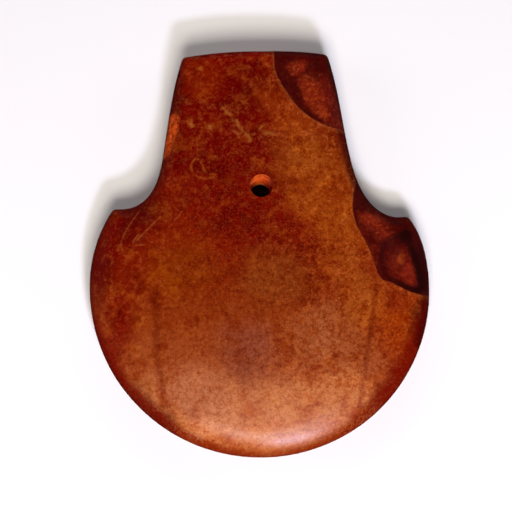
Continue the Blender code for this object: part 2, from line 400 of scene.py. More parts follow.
CUTTER_DEPTH = 20 * MM
PLATE_WIDTH = 200 * MM
bpy.ops.object.select_all(action="DESELECT")
bpy.ops.mesh.primitive_cube_add(size=1.0)
plate = bpy.context.object
plate.scale = (PLATE_WIDTH, PLATE_WIDTH, CUTTER_DEPTH)
plate.location = (0.0, 0.0, cad_low.z - 0.5 * CUTTER_DEPTH)
bpy.ops.object.transform_apply()
cut(plate)
print(f"flat ground on the back at {cad_low.z / MM:.2f} mm")

# %% [markdown]
# ## Where the stone broke
#
# The butt's right corner and the right shoulder are lost to old breaks, a deeper bruise lies inside
# the second, and a small chip is gone from the poll's left edge. A flake leaves a dished scar: a
# step along its border, a floor that falls away gently towards the edge where the blow fell, and
# faint ripples round that place. Each scar starts as a border drawn on the face. Its cutter is a
# fine grid that follows the face, sinks inside the border, and is extruded upwards into a block,
# and a Boolean takes the block off the stone. Sculpted scars would need no borders, but the colours
# below use the same lines again.

# %% Borders of the breaks
# each break: the border drawn on the face, then corners beyond the stone that close it, in mm
BUTT_CORNER = (
    ((5.0, 93.0), (5.1, 86.2), (5.3, 81.6), (6.4, 77.3), (9.2, 72.6), (12.4, 67.7), (16.2, 63.6),
     (21.2, 60.2), (25.6, 58.5), (29.6, 57.6), (36.0, 57.0)),
    ((45.0, 60.0), (45.0, 95.0)),
)
SHOULDER = (
    ((36.2, 45.0), (35.3, 37.8), (34.2, 32.9), (33.8, 27.0), (35.6, 20.8), (38.6, 16.0), (41.0, 10.4),
     (42.4, 5.6), (44.4, 1.4), (47.4, 0.9), (50.6, -0.6), (54.4, -2.5), (58.2, -3.6), (66.0, -4.0)),
    ((72.0, 20.0), (60.0, 45.0)),
)
BRUISE = (
    ((44.4, 10.5), (45.3, 14.4), (47.5, 16.9), (50.4, 18.4), (53.0, 18.0), (54.9, 15.7), (56.4, 11.9),
     (57.9, 7.4), (59.0, 2.6), (59.6, -1.4), (56.4, -2.0), (53.4, -0.9), (50.4, 0.6), (47.0, 2.6),
     (44.9, 6.2), (44.4, 10.5)),
    (),
)
POLL_SIDE = (
    ((-38.0, 65.4), (-31.4, 64.3), (-29.8, 62.3), (-29.8, 59.0), (-31.1, 55.3), (-32.3, 51.6),
     (-33.8, 47.8), (-38.0, 46.0)),
    ((-45.0, 46.0), (-45.0, 65.0)),
)
print(f"borders: {len(BUTT_CORNER[0])}, {len(SHOULDER[0])}, {len(BRUISE[0])} and {len(POLL_SIDE[0])} points")


# %% Distance from a drawn line
CORNER_CUTS = 3
CORNER_SHARE = 0.25  # how much of each side of a corner one cut takes off


def smoothed(drawn):
    """A drawn line with its corners cut, and what is left of them cut again."""
    line = np.array(drawn)
    for _ in range(CORNER_CUTS):
        starts, ends = line[:-1], line[1:]
        near_start = (1.0 - CORNER_SHARE) * starts + CORNER_SHARE * ends
        near_end = CORNER_SHARE * starts + (1.0 - CORNER_SHARE) * ends
        between = np.stack([near_start, near_end], axis=1)
        line = np.vstack([line[:1], between.reshape(-1, 2), line[-1:]])
    return line


def from_line(line, x, y):
    """How far places are from a line, in mm."""
    places = np.column_stack([x, y])
    nearest = np.full(len(places), np.inf)
    for start, end in zip(line[:-1], line[1:]):
        run = end - start
        share = np.clip((places - start) @ run / (run @ run), 0.0, 1.0)
        nearest = np.minimum(nearest, np.linalg.norm(places - start - share[:, None] * run, axis=1))
    return nearest


def from_border(drawn, x, y):
    """How far places lie inside a border, in mm, and below 0 outside it."""
    border = smoothed(drawn[0])
    corners = np.vstack([border, np.array(drawn[1]).reshape(-1, 2)])
    inside = np.zeros(len(x), bool)
    for (x0, y0), (x1, y1) in zip(corners, np.roll(corners, -1, axis=0)):
        if y0 != y1:
            inside ^= ((y0 > y) != (y1 > y)) & (x < x0 + (y - y0) * (x1 - x0) / (y1 - y0))
    nearest = from_line(border, x, y)
    return np.where(inside, nearest, -nearest)


middle = np.mean(smoothed(BRUISE[0]), axis=0)
print(f"the bruise's middle lies {from_border(BRUISE, *middle[:, None])[0]:.1f} mm inside its border")

# %% Flake scars
# name, border, depth just inside the border, mm in which it gets there, more depth a mm further in,
# and the place on the edge where the blow fell, all in mm
SCARS = (
    ("shoulder", SHOULDER, 1.10, 1.6, 0.03, (64.0, 24.0)),
    ("bruise", BRUISE, 1.30, 2.8, 0.06, (64.0, 9.0)),
    ("butt_corner", BUTT_CORNER, 1.00, 1.5, 0.11, (27.0, 90.0)),
    ("poll_side", POLL_SIDE, 0.70, 1.0, 0.10, (-36.0, 52.0)),
)
SHEET_STEP, SHEET_MARGIN = 0.45, 3.0  # mm
OUTER_RISE = 0.5  # mm a mm: how fast the cutter leaves the face outside the border
LOWEST_CUT = 0.6  # mm over the middle plane, so that the outline stays whole
RIPPLE, RIPPLE_LENGTH = 0.05, 2.4  # mm
SWELL, SWELL_LENGTH = 0.35, 6.0  # mm
GRAIN, GRAIN_LENGTH = 0.25, 2.0  # mm


def roughen(piece, name, grain, height, depth=2, direction="NORMAL", group=""):
    """Raises and lowers a piece's surface by a cloud pattern. Grain and height are in mm."""
    clouds = bpy.data.textures.new(name, "CLOUDS")
    clouds.noise_scale = grain * MM
    clouds.noise_depth = depth
    clouds.noise_basis = "ORIGINAL_PERLIN"
    displace = piece.modifiers.new(name, "DISPLACE")
    displace.texture = clouds
    displace.texture_coords = "LOCAL"
    displace.direction = direction
    displace.strength = height * MM
    displace.mid_level = 0.5
    displace.vertex_group = group


def scar_cutter(name, drawn, lip_depth, lip_length, further, blow):
    """A block whose underside is the scar: a sheet dished inside the border, drawn up into a block."""
    border = np.array(drawn[0])
    low = np.maximum(border.min(axis=0), outline.min(axis=0)) - SHEET_MARGIN
    high = np.minimum(np.array(drawn[0] + drawn[1]).max(axis=0), outline.max(axis=0)) + SHEET_MARGIN
    wide, long = high - low
    bpy.ops.object.select_all(action="DESELECT")
    bpy.ops.mesh.primitive_grid_add(
        x_subdivisions=round(wide / SHEET_STEP), y_subdivisions=round(long / SHEET_STEP))
    block = bpy.context.object
    block.name = name
    points = coordinates(block)[:, :2]
    x, y = (low + (high - low) * (points - points.min(axis=0)) / np.ptp(points, axis=0)).T
    inside = from_border(drawn, x, y)
    inward = np.maximum(inside, 0.0)
    ripple = RIPPLE * np.sin(2.0 * math.pi * np.hypot(x - blow[0], y - blow[1]) / RIPPLE_LENGTH)
    depth = (lip_depth + ripple) * (1.0 - np.exp(-inward / lip_length)) + further * inward
    dish = np.maximum(face_height(x, y) - depth, LOWEST_CUT)
    z = np.where(inside > 0.0, dish, face_height(x, y) - OUTER_RISE * inside)
    move_points(block, np.column_stack([x, y, z]))
    roughen(block, name + "_swell", SWELL_LENGTH, SWELL, depth=1, direction="Z")
    roughen(block, name + "_grain", GRAIN_LENGTH, GRAIN, direction="Z")
    apply_modifiers(block)
    edit(block)
    rise = Vector((0.0, 0.0, CUTTER_DEPTH))
    bpy.ops.mesh.extrude_region_move(TRANSFORM_OT_translate={"value": rise})
    bpy.ops.transform.resize(value=(1.0, 1.0, 0.0), center_override=blade + rise)
    leave_outwards()
    return block


for scar in SCARS:
    cut(scar_cutter(*scar))
print(f"flake scars: {', '.join(scar[0] for scar in SCARS)}")

# %% [markdown]
# ## The skin
#
# After the cuts the faces are of all sizes, with long slivers along the scars. Fine relief and
# smooth shading need an even net, so a voxel Remesh lays new quads of one size over the whole stone,
# and a little smoothing takes off the voxels' steps. It also wears the scars' edges by about half a
# millimetre, as long handling did. A Subdivision Surface would keep the slivers and pinch at them.
# Quads of half this size would be four times as many, for relief that nobody could see.

# %% Even skin
VOXEL = 0.62  # mm
RELAXING, RELAXED = 0.5, 3  # how far a point moves towards its neighbours' middle, and how many times
remesh = stone.modifiers.new("skin", "REMESH")
remesh.mode = "VOXEL"
remesh.voxel_size = VOXEL * MM
remesh.use_smooth_shade = True
smooth = stone.modifiers.new("relax", "SMOOTH")
smooth.factor = RELAXING
smooth.iterations = RELAXED
apply_modifiers(stone)
print(f"skin: {len(stone.data.vertices)} points, {2 * len(stone.data.polygons)} triangles")

# %% [markdown]
# ## The drilled hole
#
# The hole was drilled from both faces with a rod and wet sand, so it is wide at the faces and
# narrows to a waist where the two borings met, a little out of line. It could be cut with the rest,
# but the remesh would then round its lip, and a rounded lip catches the light all round. So it waits
# until the skin is there. The cutter is a circle extruded down through the stone ring by ring. Each
# ring is resized, and pushed sideways as far as the boring wandered. A cylinder would be simpler, but
# the eye would see straight through it, and here it meets a leaning wall.

# %% The drilled hole
HOLE = (0.4, 36.1)  # its middle, in mm from the blade's centre
HOLE_SIDES = 72
# from the front face to the back: height over the middle plane, radius, and how far the middle has
# drifted to the right and towards the butt, in mm
HOLE_PROFILE = (
    (13.0, 4.6, 0.0, 0.0), (10.6, 4.45, 0.0, 0.0), (9.8, 4.3, 0.0, 0.0), (9.2, 4.2, 0.0, 0.0),
    (8.0, 4.1, -0.05, -0.1), (2.0, 3.7, -0.4, -1.5), (-1.0, 3.45, -0.6, -2.4), (-2.0, 3.5, -0.6, -2.3),
    (-6.0, 3.9, -0.3, -1.0), (-8.4, 4.2, 0.0, 0.0), (-9.3, 4.45, 0.0, 0.0), (-9.9, 4.8, 0.0, 0.0),
    (-13.0, 5.6, 0.0, 0.0),
)


def hole_cutter():
    """A circle drawn down through the stone ring by ring."""
    top, first_radius, _, _ = HOLE_PROFILE[0]
    middle = blade + Vector((*HOLE, top)) * MM
    bpy.ops.object.select_all(action="DESELECT")
    bpy.ops.mesh.primitive_circle_add(
        vertices=HOLE_SIDES, radius=first_radius * MM, fill_type="NGON", location=middle)
    drill = bpy.context.object
    drill.name = "drill"
    bpy.ops.object.transform_apply()
    edit(drill)
    for (above, wide, *start), (below, narrow, *end) in zip(HOLE_PROFILE, HOLE_PROFILE[1:]):
        step = Vector((end[0] - start[0], end[1] - start[1], below - above)) * MM
        middle = middle + step
        bpy.ops.mesh.extrude_region_move(TRANSFORM_OT_translate={"value": step})
        bpy.ops.transform.resize(value=(narrow / wide, narrow / wide, 1.0), center_override=middle)
    leave_outwards()
    return drill


cut(hole_cutter())
print(f"hole: {2 * min(radius for _, radius, *_ in HOLE_PROFILE):.1f} mm at its narrowest")

# %% [markdown]
# ## Distances over the skin
#
# Colour on this stone follows its shape: wine red along the rim, dark flesh in the breaks, clean
# orange in the hole. A painted image could say where that is, but it would be tied to one unwrapping.
# Here each point stores how far it is from each border, in millimetres, and the material turns the
# distances into colour and roughness, with as soft or as ragged an edge as each needs. Parts of the
# rim that have a tone of their own get their own distance: the rest of the rim is put far away.

# %% Where each break, the hole and the rim lie
FAR = 30.0  # mm, written where a distance doesn't matter
HOLE_LIP = 4.3  # mm, the radius at which the polished face ends
LIP_DEPTH = 0.3  # mm under the face, where the drilled wall has surely begun
BREAK_FADES = (-0.4, 0.8)  # mm inside its border, from ground face to wholly broken
X, Y = 0, 1
# parts of the rim with a tone of their own: the axes along which each ends, and the mm where it
# begins to end and is far away
RIM_PARTS = (
    ("bit_rim", ((Y, -56.0, -42.0),)),
    ("right_edge", ((X, 22.0, 12.0), (Y, -20.0, -40.0))),
    ("left_edge", ((X, -32.0, -22.0), (Y, 78.0, 88.0))),
)


def write_distance(name, values):
    """Stores one number a point on the stone, for its material to read."""
    layer = stone.data.attributes.new(name, "FLOAT", "POINT")
    layer.data.foreach_set("value", values.astype(np.float32))


skin = coordinates(stone)
in_front = skin[:, 2] > 0.0
front_x, front_y = skin[in_front, :2].T
rim = inside_outline(skin[:, 0], skin[:, 1])
write_distance("rim", rim)
for name, ends in RIM_PARTS:
    write_distance(name, rim + FAR * sum(ease(near, far, skin[:, axis]) for axis, near, far in ends))
from_hole = np.hypot(skin[:, 0] - HOLE[0], skin[:, 1] - HOLE[1])
under_face = face_height(skin[:, 0], skin[:, 1]) - np.abs(skin[:, 2])
in_wall = (under_face > LIP_DEPTH) & (from_hole < 2.0 * HOLE_LIP)
write_distance("bore", np.where(in_wall, HOLE_LIP, HOLE_LIP - from_hole))
broken = np.zeros(len(skin))
for name, drawn, *_ in SCARS:
    inside = np.full(len(skin), -FAR)
    inside[in_front] = from_border(drawn, front_x, front_y)
    write_distance(name, inside)
    broken = np.maximum(broken, ease(*BREAK_FADES, inside))
    print(f"{name}: {np.count_nonzero(inside > 0.0)} points")

# %% [markdown]
# ## Bevels, seams, veins and scratches
#
# Under each flank a narrow bevel runs down to the bit, left by the last grinding, and a faint seam
# crosses the blade beside it. On the poll are pale veins and a small loop, and at the left shoulder
# a few fine scratches. None has a depth that could be felt, so they are short lines drawn on the face
# and stored as distances like the rest. The material gives each its colour, and the bevels, which are
# borders that reach round to the side, a smoother polish too. The bevels' dark red is painted shade,
# because they face away from the light. All could be grooves in the mesh, but its quads are wider
# than the lines.

# %% Bevels
LEFT_BEVEL = (
    ((-66.0, -6.0), (-61.0, -13.0), (-57.5, -22.0), (-51.5, -32.0), (-44.0, -39.5), (-36.0, -46.4),
     (-30.0, -51.8), (-20.6, -57.0), (-11.0, -60.4), (0.0, -62.4), (8.0, -64.0)),
    ((-66.0, -66.0),),
)
RIGHT_BEVEL = (
    ((66.0, -4.0), (60.0, -8.0), (57.5, -13.0), (54.9, -18.5), (50.6, -25.8), (46.4, -34.0),
     (41.5, -41.0), (35.0, -48.0), (27.5, -54.2), (18.4, -59.0), (8.0, -62.6), (0.0, -65.0)),
    ((66.0, -66.0),),
)
for name, drawn in (("left_bevel", LEFT_BEVEL), ("right_bevel", RIGHT_BEVEL)):
    within = from_border(drawn, skin[:, 0], skin[:, 1])
    write_distance(name, within)
    print(f"{name}: {np.count_nonzero(within > 0.0)} points")

# %% Seams, veins and scratches
# each line: half its width in mm, then its points
SEAMS = (
    (1.0, ((42.6, -1.0), (41.5, -10.6), (39.6, -21.9), (37.8, -33.1), (36.3, -44.4))),
    (1.4, ((-38.0, -4.0), (-38.2, -14.0), (-37.8, -26.0), (-36.0, -38.0), (-33.0, -47.0))),
)
LOOP = (
    (0.60, ((-23.6, 46.3), (-25.2, 45.0), (-25.5, 43.0), (-24.8, 41.0), (-23.1, 39.6), (-20.9, 38.7),
            (-18.6, 38.7), (-17.0, 39.5), (-16.5, 40.3))),
    (0.55, ((-23.6, 46.3), (-22.2, 45.6), (-21.3, 44.2), (-20.9, 42.5), (-20.2, 41.0), (-18.4, 40.5),
            (-16.5, 40.3))),
)
VEINS = (
    (0.85, ((-13.8, 65.6), (-12.4, 63.8), (-11.0, 62.6))),
    (0.95, ((-10.6, 62.0), (-8.6, 60.2))),
    (0.75, ((-8.4, 59.8), (-8.0, 58.4), (-6.2, 56.6))),
    (0.80, ((-9.6, 56.6), (-7.6, 55.4))),
    (0.80, ((-6.0, 56.2), (-4.6, 55.0))),
    (0.85, ((-4.4, 54.6), (-3.4, 53.8), (-3.9, 52.6))),
    (0.50, ((-3.4, 54.6), (-1.6, 56.3), (0.8, 58.6))),
    (1.05, ((-26.0, 60.6), (-25.2, 58.8))),
    (1.05, ((-18.8, 58.6), (-17.2, 57.8))),
    (0.90, ((1.4, 56.2), (4.6, 55.6))),
    (0.90, ((-22.6, 81.2), (-21.4, 80.4))),
)
SCRATCHES = (
    (0.40, ((-45.4, 16.0), (-40.0, 21.6), (-34.6, 26.9))),
    (0.40, ((-47.4, 15.0), (-44.6, 18.4))),
    (0.28, ((-52.0, 12.6), (-50.6, 17.8), (-47.6, 22.8), (-44.2, 27.6))),
    (0.80, ((-52.4, 12.8), (-51.2, 14.8))),
    (0.40, ((-46.2, 14.1), (-42.0, 14.4), (-38.2, 15.9))),
    (0.30, ((-35.4, 18.0), (-31.6, 22.8), (-28.4, 27.0))),
)


def nearest_of(lines):
    """Distance to the nearest of some drawn lines, in half widths of that line, on the face that is up."""
    in_halves = [from_line(smoothed(line), front_x, front_y) / half for half, line in lines]
    distance = np.full(len(skin), FAR)
    distance[in_front] = np.min(in_halves, axis=0)
    return distance


for name, lines in (("seams", SEAMS), ("loop", LOOP), ("veins", VEINS), ("scratches", SCRATCHES)):
    write_distance(name, nearest_of(lines))
    print(f"{name}: {len(lines)} lines")

# %% [markdown]
# ## Hand-ground relief
#
# A face that was ground by hand is never quite flat. It has broad shallow waves, which show only
# where light grazes it. A bump in the material could shade them, but it wouldn't move the outline of
# the sheen as real waves do. Two Displace modifiers with cloud textures move the skin by up to a
# tenth of a millimetre. A vertex group keeps them off the breaks, whose relief came with their
# cutters. Edges that turn by more than 45 degrees, such as the hole's lip, stay sharp.

# %% Hand-ground relief
GROUND_LEVELS = 10  # a vertex group takes one weight for many points, so the weights go in steps
SHARP_TURN = math.radians(45.0)
# what it is, the mm from one wave to the next, and the mm from the lowest to the highest
WAVES = (("grinding", 16.0, 0.16), ("rubbing", 5.0, 0.03))
group = stone.vertex_groups.new(name="ground")
for level in range(GROUND_LEVELS + 1):
    members = np.flatnonzero(np.round((1.0 - broken) * GROUND_LEVELS) == level)
    group.add(members.tolist(), level / GROUND_LEVELS, "REPLACE")
for wave in WAVES:
    roughen(stone, *wave, depth=1, group="ground")
apply_modifiers(stone)
pick(stone)
bpy.ops.object.shade_smooth()
stone.data.set_sharp_from_angle(angle=SHARP_TURN)
print(f"ground face: {np.count_nonzero(broken < 0.5)} of {len(skin)} points")

# %% [markdown]
# ## The stone itself
#
# The stone is a dense siltstone, too fine for its grains to be felt, and stained deep red-brown by
# iron. It was ground on a wet slab and then rubbed for days with fine sand, hide and fat. To the eye
# that gives a colour that runs from tan to wine red, a mottle with no direction, and a satin sheen.
#
# One painted image could be wrapped round it, but it would smear on the sides and say nothing about
# the back. The material is made of layers in space instead, from the broadest to the finest, and
# each layer is a few nodes. Places are in millimetres from the blade's centre. A slow noise bends
# them, so that no stain keeps the plain shape that it was given.

# %% Nodes, and places in mm
A_COLOUR, B_COLOUR = 6, 7  # the inputs of a Mix node that take its two colours
IN_COLOUR = {"out": 2, "data_type": "RGBA"}  # has a Mix node mix colours, and gives back the colour
SMOOTHLY = {"interpolation_type": "SMOOTHSTEP"}  # has a Map Range node ease in and out
WANDER_GRAIN = 11.0  # mm from one bend of a stain's border to the next
WANDER = 13.0  # mm, how far a border can stray in all

# Rubbed siltstone: even and close, so the colour looks deep and the sheen is narrow but never sharp.
rubbed = bpy.data.materials.new("rubbed_iron_stained_siltstone")
rubbed.use_nodes = True
tree = rubbed.node_tree
shader = tree.nodes["Principled BSDF"]


def add_node(kind, inputs, out=0, **settings):
    """Adds a node with its settings, sets or links its inputs, and gives back one of its outputs."""
    node = tree.nodes.new("ShaderNode" + kind)
    for name, value in settings.items():
        setattr(node, name, value)
    for key, value in inputs.items():
        if isinstance(value, bpy.types.NodeSocket):
            tree.links.new(value, node.inputs[key])
        else:
            node.inputs[key].default_value = value
    return node.outputs[out]


own = add_node("TexCoord", {}, "Object")
place = add_node("Mapping", {"Vector": own, "Scale": (1 / MM,) * 3, "Location": -blade / MM})
wander = add_node("TexNoise", {
    "Vector": place, "Scale": 1 / WANDER_GRAIN, "Detail": 5.0, "Roughness": 0.62}, "Color")
centred = add_node("VectorMath", {0: wander, 1: (0.5,) * 3}, operation="SUBTRACT")
shift = add_node("VectorMath", {0: centred, 1: (WANDER,) * 3}, operation="MULTIPLY")
strayed = add_node("VectorMath", {0: place, 1: shift}, operation="ADD")
along_x, along_y, _ = add_node("SeparateXYZ", {0: strayed}).node.outputs
print(f"places: in mm, and bent by up to {WANDER / 2:.1f} mm")

# %% [markdown]
# ## Body colour
#
# With half-closed eyes the stone is tan at the bit, orange-brown on the blade and wine red on the
# poll, as iron and handling left it, and the pale tan at the bit is partly painted sheen. A colour
# ramp along the stone says that in nine colours. Two colours mixed by hand would do for a plainer
# stone, but this one turns redder and darker unevenly.

# %% Body colour from bit to butt
# Mm from the blade's centre towards the butt, and the stone's colour there. The colours weren't mixed
# by eye: a least-squares program set them and the iron stains below against the real stone, and only
# a few were changed afterwards.
# The pale tones at -60 and -44 mm, over the bit, are partly the stone's own colour and partly painted sheen.
BODY = (
    (-60.0, "#b4642a"), (-44.0, "#c07443"), (-30.0, "#974720"), (-14.0, "#88350c"), (4.0, "#721401"),
    (24.0, "#781601"), (46.0, "#650101"), (66.0, "#6a0501"), (88.0, "#730301"),
)
BODY_LOW, BODY_HIGH = BODY[0][0], BODY[-1][0]
share = add_node("MapRange", {"Value": along_y, "From Min": BODY_LOW, "From Max": BODY_HIGH})
colour = add_node("ValToRGB", {"Fac": share})
tones = colour.node.color_ramp.elements
while len(tones) < len(BODY):
    tones.new(0.5)
for tone, (where, tint) in zip(tones, BODY):
    tone.position = (where - BODY_LOW) / (BODY_HIGH - BODY_LOW)
    tone.color = linear(tint)
print(f"body colour: {len(BODY)} tones over {BODY_HIGH - BODY_LOW:.0f} mm")

# %% [markdown]
# ## Iron stains, painted rim shade and painted bit sheen
#
# Iron moved through this stone in patches one to four centimetres wide: gold beside the hole and down
# the right side, and dark at the left shoulder. The dark patches along the rims are partly painted
# shade, where the face turns away from the light and loses its sheen, and the pale ones over the bit
# are partly painted sheen. Each patch is an ellipsoid with a soft border, made by a spherical gradient
# seen through a Mapping node that places, turns and stretches it. It is sunk 16 mm deep, so it colours
# the face and fades before the back, which stays plainer. A table of patches is longer than one big
# noise, but it puts each patch where it belongs.

# %% Iron stains, painted rim shade and painted bit sheen
# Name, middle, half length and half width in mm, turn in degrees, colour. Most of the patches were
# listed first, and then moved, sized and coloured by the same program.
STAINS_AND_PAINTED_LIGHT = (
    ("butt_tan", (-22, 78), (14, 10), -20, "#7a1a01"),
    ("butt_dark", (-2, 74), (18, 14), 0, "#5c0101"),
    ("beside_butt_scar", (10, 64), (10, 22), 40, "#862d06"),
    ("neck_gold", (19, 45), (20, 20), 0, "#96450f"),
    ("right_gold", (29, 24), (16, 30), 0, "#94420b"),
    ("right_gold_low", (36, -4), (12, 24), 10, "#994915"),
    ("poll_left_edge", (-33, 68), (6, 20), -10, "#490101"),
    ("neck_left_red", (-14, 45), (22, 8), 0, "#670101"),
    ("left_of_hole", (-14, 30), (20, 16), 0, "#680101"),
    ("under_hole", (2, 20), (16, 16), 0, "#680201"),
    ("right_of_hole", (15, 31), (9, 12), 0, "#94420c"),
    ("left_shoulder", (-46, 24), (18, 12), 20, "#570101"),
    ("left_flank_dark", (-60, 8), (9, 20), 0, "#5c0101"),
    ("left_cheek_brown", (-28, 4), (20, 16), 0, "#823101"),
    ("left_edge_tan", (-51, -14), (10, 22), 0, "#6e0201"),
    ("middle_red", (6, 2), (22, 16), 0, "#80390f"),
    ("purple_brown", (-4, -25), (16, 20), 0, "#843f29"),
    ("right_tan", (23, -19), (18, 17), 0, "#9a522d"),
    # left_rim_low, left_rim_bottom, right_rim_red and right_rim_low: darker along the rims, partly painted
    # shade where the face turns away from the light
    ("left_rim_low", (-57, -26), (7, 26), 20, "#730101"),
    ("left_rim_bottom", (-41, -46), (7, 24), 45, "#310101"),
    ("right_flank_orange", (50, -18), (10, 20), 0, "#913201"),
    ("right_rim_red", (61, -16), (8, 26), -5, "#1d0101"),
    ("right_rim_low", (49, -38), (8, 27), -40, "#5f0101"),
    # pale_low_left and pale_low_right: the stone's paler tone, partly painted sheen of the soft box over the
    # bit
    ("pale_low_left", (-24, -40), (20, 14), -15, "#ab623e"),
    ("pale_low_right", (26, -40), (20, 14), 20, "#bb6e3c"),
    ("red_fleck", (-18, 25.5), (4.5, 3), 0, "#6e0601"),
    ("horn_red", (-54, 21), (4.5, 6), 0, "#730101"),
    ("flank_red", (-54, 12), (6, 5), 20, "#6e0101"),
    # bit_glow, bit_right and bit_left: the stone's tan at the bit, partly painted sheen
    ("bit_glow", (1, -55), (30, 9), 5, "#c6723e"),
    ("bit_right", (24, -52), (14, 8), -15, "#ba6636"),
    ("bit_left", (-20, -54), (14, 8), 15, "#d08252"),
)
STAIN_DEPTH = 16.0  # mm, half the height of a stain's ellipsoid
STAIN_HEIGHT = 7.0  # mm over the middle plane, where its middle lies
STAIN_PLATEAU = 0.8  # how far in from its border a stain is full
STRENGTH = 0.9  # how much of a stain there is where it is full


def stained(name, middle, halves, turn, plateau, most):
    """How much of a stain there is, from 0 at its soft border to `most` from `plateau` of the way in."""
    near = add_node("Mapping", {
        "Vector": strayed, "Location": (*middle, STAIN_HEIGHT), "Rotation": (0.0, 0.0, math.radians(turn)),
        "Scale": (*halves, STAIN_DEPTH)}, vector_type="TEXTURE", label=name)
    inward = add_node("TexGradient", {"Vector": near}, "Fac", gradient_type="SPHERICAL")
    return add_node("MapRange", {"Value": inward, "From Max": plateau, "To Max": most}, **SMOOTHLY)


def patched(under, stains, plateau):
    """A colour with the stains of a table laid over it."""
    for *shape, tint in stains:
        amount = stained(*shape, plateau, STRENGTH)
        under = add_node("Mix", {0: amount, A_COLOUR: under, B_COLOUR: linear(tint)}, **IN_COLOUR)
    return under


colour = patched(colour, STAINS_AND_PAINTED_LIGHT, STAIN_PLATEAU)
print(f"iron stains: {len(STAINS_AND_PAINTED_LIGHT)}")

# %% [markdown]
# ## Mottle
#
# Seen closer, the colour breaks up into clouds a centimetre wide, blots within them, and grains
# within those. The blade's middle is calm, the poll and both flanks are busier, and the golden right
# side shows its blots most. One noise with more detail could give all of it, but then dark and light
# would always meet in the same places. Eight noises of their own sizes act one after the other: the
# dark ones multiply the colour, and the tan ones are screened over it. The real grains are under a
# tenth of a millimetre. The finest layers are drawn 0.9 mm wide, because finer ones would blend into
# one colour at this distance.

# %% Where the mottle is busy
# the axis, the mm where the share starts and ends, and how much it is at each
REGIONS = {
    "poll": (along_y, 18.0, 62.0, 0.0, 1.0),
    "left flank": (along_x, -18.0, -42.0, 0.0, 1.0),
    "right flank": (along_x, 36.0, 48.0, 0.0, 0.35),
    "off the bit": (along_y, -46.0, -10.0, 0.0, 1.0),
    "right side": (along_x, -4.0, 18.0, 0.0, 1.0),
    "off the sheen": (along_y, -52.0, -24.0, 0.2, 1.0),
}
in_region = {}
for name, (along, start, end, least, most) in REGIONS.items():
    in_region[name] = add_node("MapRange", {
        "Value": along, "From Min": start, "From Max": end, "To Min": least, "To Max": most}, label=name)
off_bit = in_region["off the bit"]
flanks = add_node("Math", {0: in_region["left flank"], 1: in_region["right flank"]}, operation="MAXIMUM")
flanks = add_node("Math", {0: flanks, 1: off_bit}, operation="MULTIPLY")
busy = add_node("Math", {0: in_region["poll"], 1: flanks}, operation="MAXIMUM")
golden = add_node("Math", {0: in_region["right side"], 1: in_region["off the sheen"]}, operation="MULTIPLY")
print(f"regions: {', '.join(REGIONS)}")

# %% Mottle
# what it is, mm across, detail, roughness, the noise where it starts and is full, how it acts, its
# colour, how much of it there is on the calm blade and on the busy poll, and how much more on the
# golden side
MOTTLES = (
    ("dark clouds", 10.0, 5.0, 0.72, (0.52, 0.36), "MULTIPLY", "#e1b060", 0.9, 1.0, 0.0),
    ("tan clouds", 8.0, 5.0, 0.72, (0.50, 0.66), "SCREEN", "#663208", 0.4, 0.85, 0.40),
    ("dark blots", 3.6, 4.0, 0.80, (0.52, 0.36), "MULTIPLY", "#dcaa50", 0.6, 0.65, 0.42),
    ("tan blots", 3.0, 4.0, 0.80, (0.52, 0.66), "SCREEN", "#743818", 0.22, 0.52, 0.42),
    ("dark grain", 1.7, 3.0, 0.85, (0.54, 0.38), "MULTIPLY", "#cc9c58", 0.62, 0.5, 0.15),
    ("tan grain", 1.4, 3.0, 0.80, (0.53, 0.68), "SCREEN", "#84421c", 0.28, 0.32, 0.15),
    ("dark flecks", 0.9, 2.0, 0.80, (0.54, 0.38), "MULTIPLY", "#cca068", 0.40, 0.08, 0.0),
    ("fine flecks", 0.9, 2.0, 0.80, (0.53, 0.70), "SCREEN", "#8c4a22", 0.30, 0.08, 0.0),
)
LAYER_GAP = 40.0  # mm between the parts of the noise that two layers read, so that they differ
FIRST_MOTTLE = 0.575  # the layer of the noise that the mottle starts from


def blotched(name, grain, detail, rough, start=0.0, full=1.0, least=0.0, most=1.0, layer=0.0, **settings):
    """Blotches about `grain` mm across: `least` where the noise is `start`, `most` where it is `full`."""
    apart = add_node("VectorMath", {0: place, 1: (0.0, 0.0, LAYER_GAP * layer)}, operation="ADD")
    noise = add_node("TexNoise", {
        "Vector": apart, "Scale": 1 / grain, "Detail": detail, "Roughness": rough}, label=name)
    return add_node("MapRange", {
        "Value": noise, "From Min": start, "From Max": full, "To Min": least, "To Max": most}, **settings)


for layer, mottle in enumerate(MOTTLES):
    *look, (start, full), acting, tint, calmly, busily, goldly = mottle
    most = add_node("MapRange", {"Value": busy, "To Min": calmly, "To Max": busily})
    most = add_node("Math", {0: golden, 1: goldly, 2: most}, operation="MULTIPLY_ADD")
    blotch = blotched(*look, start, full, most=most, layer=FIRST_MOTTLE + layer, **SMOOTHLY)
    colour = add_node("Mix", {
        0: blotch, A_COLOUR: colour, B_COLOUR: linear(tint)}, **IN_COLOUR, blend_type=acting)
print(f"mottle: {len(MOTTLES)} layers, {MOTTLES[0][1]:.0f} to {MOTTLES[-1][1]:.1f} mm across")

# %% [markdown]
# ## Tan threads
#
# A net of short tan threads lies over the poll, where minerals came out along hair cracks. A noise
# passes its middle value along winding lines, so the places where it is close to 0.5 are a net of
# threads already. A second noise lets them through in clumps. The real threads are hairs. Here they
# are drawn a few tenths of a millimetre wide, the least that shows.

